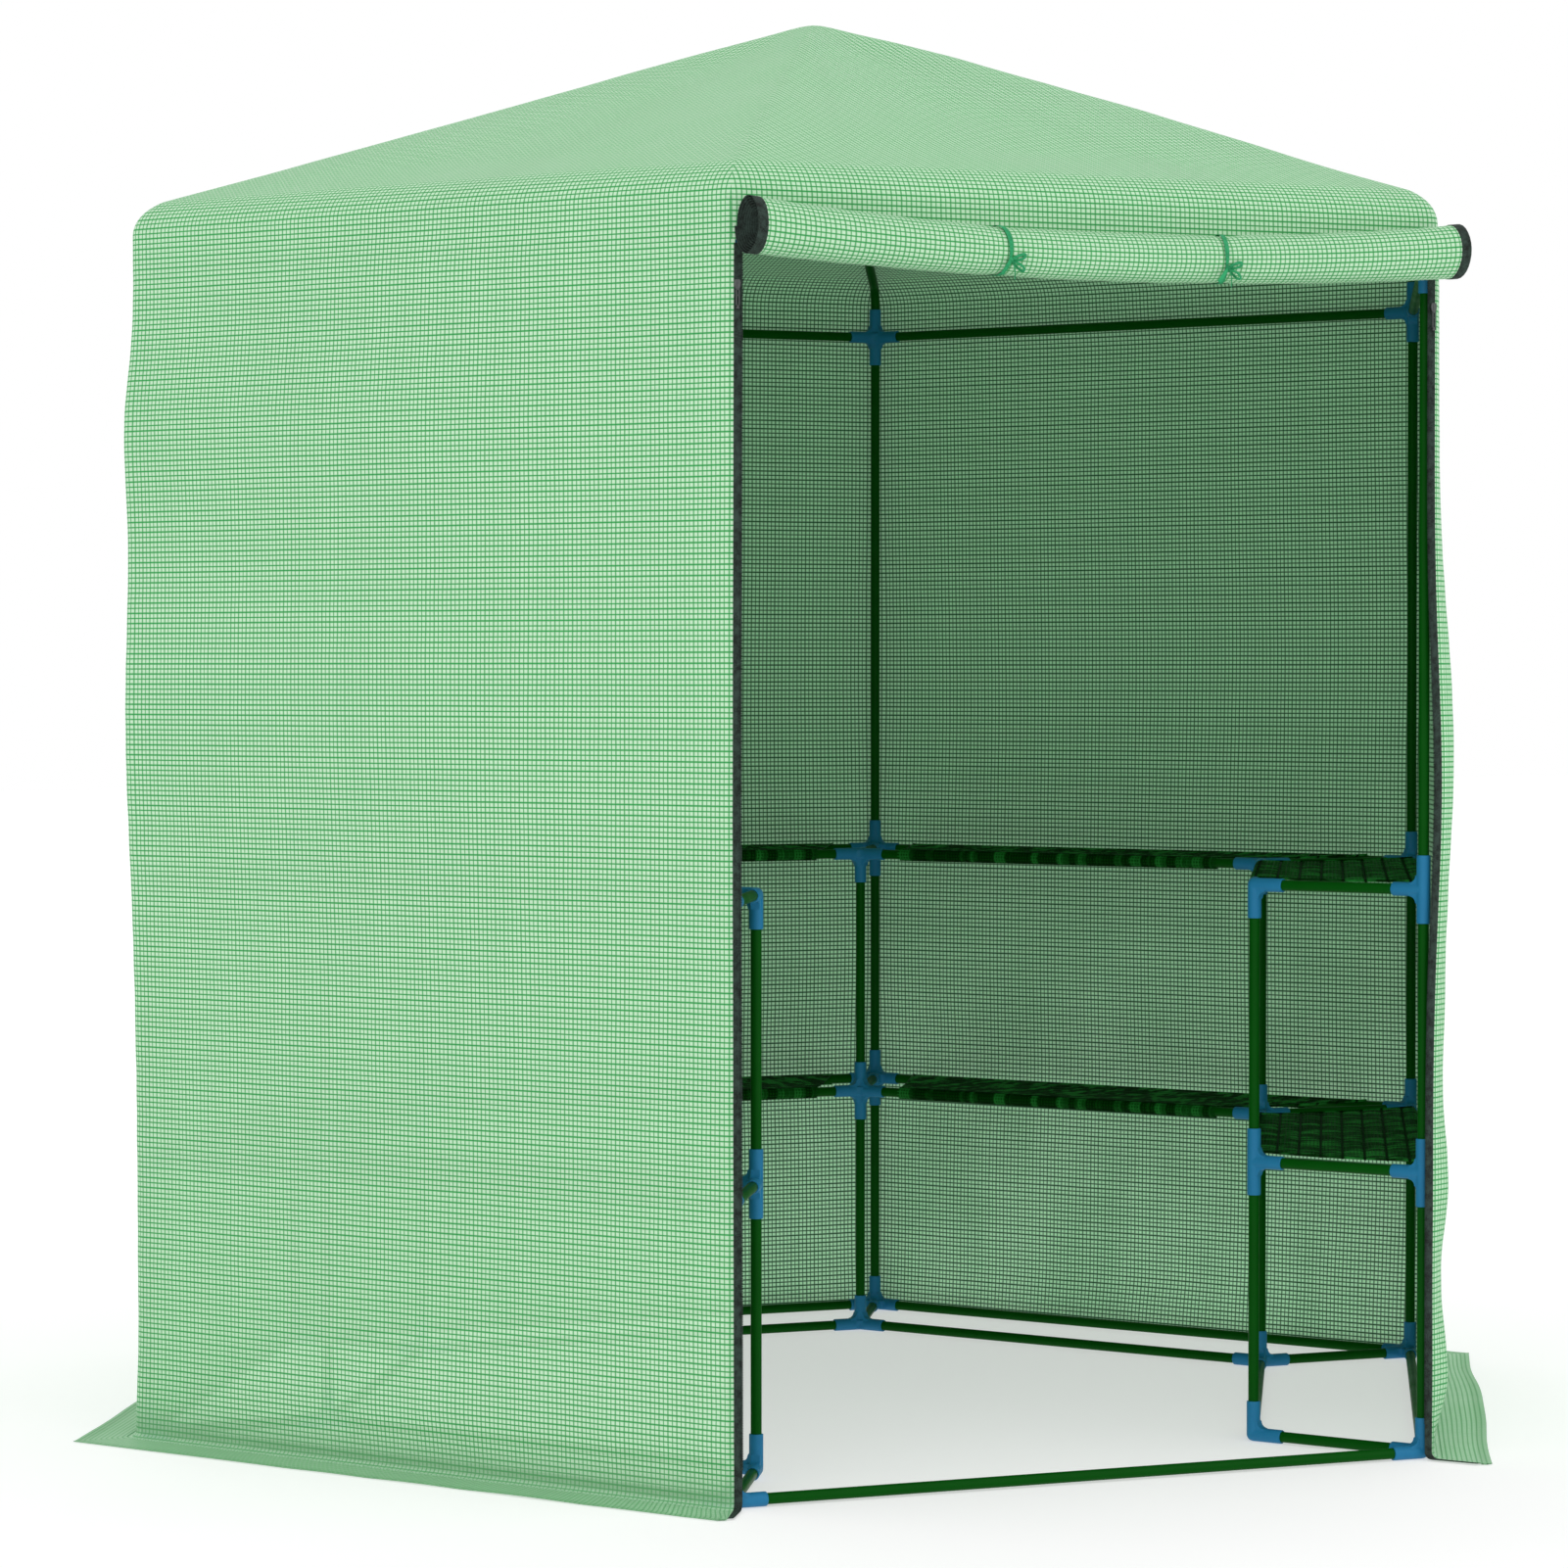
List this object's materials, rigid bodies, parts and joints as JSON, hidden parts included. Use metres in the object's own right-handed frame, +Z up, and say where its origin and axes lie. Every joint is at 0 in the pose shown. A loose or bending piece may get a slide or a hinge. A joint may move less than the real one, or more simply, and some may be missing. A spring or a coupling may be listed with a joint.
{
  "type": "walk-in greenhouse",
  "caption": "Hexagonal walk-in greenhouse: push-fit tube frame, two tiers of shelves round five sides, mesh cover with ground skirt and a roll-up zipped door.",
  "frame": {"origin": "on the ground, at the middle of the footprint's box", "axes": "+Z up; the doorway faces -Y; +X runs from the left corner to the right corner of the hexagon"},
  "size_m": [2.4424, 2.1151, 2.1826],
  "materials": {
    "tube": "dark green powder coat, semi-gloss",
    "connector": "moulded blue plastic, satin",
    "shelf": "dark green plastic mesh",
    "cover": "translucent pale green mesh-reinforced film",
    "zip_tape": "dark grey woven zip tape",
    "tie": "green ribbon",
    "zip_slider": "dark grey moulded slider"
  },
  "bodies": {
    "greenhouse": {"outer_upright_right": "tube", "inner_upright_right": "tube", "rafter_right": "tube", "outer_upright_back_right": "tube", "inner_upright_back_right": "tube", "rafter_back_right": "tube", "outer_upright_back_left": "tube", "inner_upright_back_left": "tube", "rafter_back_left": "tube", "outer_upright_left": "tube", "inner_upright_left": "tube", "rafter_left": "tube", "outer_upright_front_left": "tube", "inner_upright_front_left": "tube", "rafter_front_left": "tube", "outer_upright_front_right": "tube", "inner_upright_front_right": "tube", "rafter_front_right": "tube", "ground_rail_right_front": "tube", "inner_ground_rail_right_front": "tube", "eave_rail_right_front": "tube", "lower_shelf_right_front": "shelf", "upper_shelf_right_front": "shelf", "cover_wall_right_front": "cover", "ground_rail_right_back": "tube", "inner_ground_rail_right_back": "tube", "eave_rail_right_back": "tube", "lower_shelf_right_back": "shelf", "upper_shelf_right_back": "shelf", "cover_wall_right_back": "cover", "ground_rail_back": "tube", "inner_ground_rail_back": "tube", "eave_rail_back": "tube", "lower_shelf_back": "shelf", "upper_shelf_back": "shelf", "cover_wall_back": "cover", "ground_rail_left_back": "tube", "inner_ground_rail_left_back": "tube", "eave_rail_left_back": "tube", "lower_shelf_left_back": "shelf", "upper_shelf_left_back": "shelf", "cover_wall_left_back": "cover", "ground_rail_left_front": "tube", "inner_ground_rail_left_front": "tube", "eave_rail_left_front": "tube", "lower_shelf_left_front": "shelf", "upper_shelf_left_front": "shelf", "cover_wall_left_front": "cover", "threshold_rail": "tube", "eave_rail_door": "tube", "crown_connector": "connector", "cover_roof": "cover", "door_header": "cover", "door_tie_left": "tie", "zip_tape_left": "zip_tape", "door_tie_right": "tie", "zip_tape_right": "zip_tape"},
    "door": {"door_roll": "cover"},
    "left_slider": {"zip_slider_left": "zip_slider"},
    "right_slider": {"zip_slider_right": "zip_slider"}
  },
  "joints": [
    {"name": "door_unroll", "type": "slide", "parent": "greenhouse", "child": "door", "axis": [0, 0, -1], "range_m": [0, 1.695]},
    {"name": "left_zip", "type": "slide", "parent": "greenhouse", "child": "left_slider", "axis": [0, 0, -1], "range_m": [0, 1.62]},
    {"name": "right_zip", "type": "slide", "parent": "greenhouse", "child": "right_slider", "axis": [0, 0, -1], "range_m": [0, 1.62]}
  ]
}
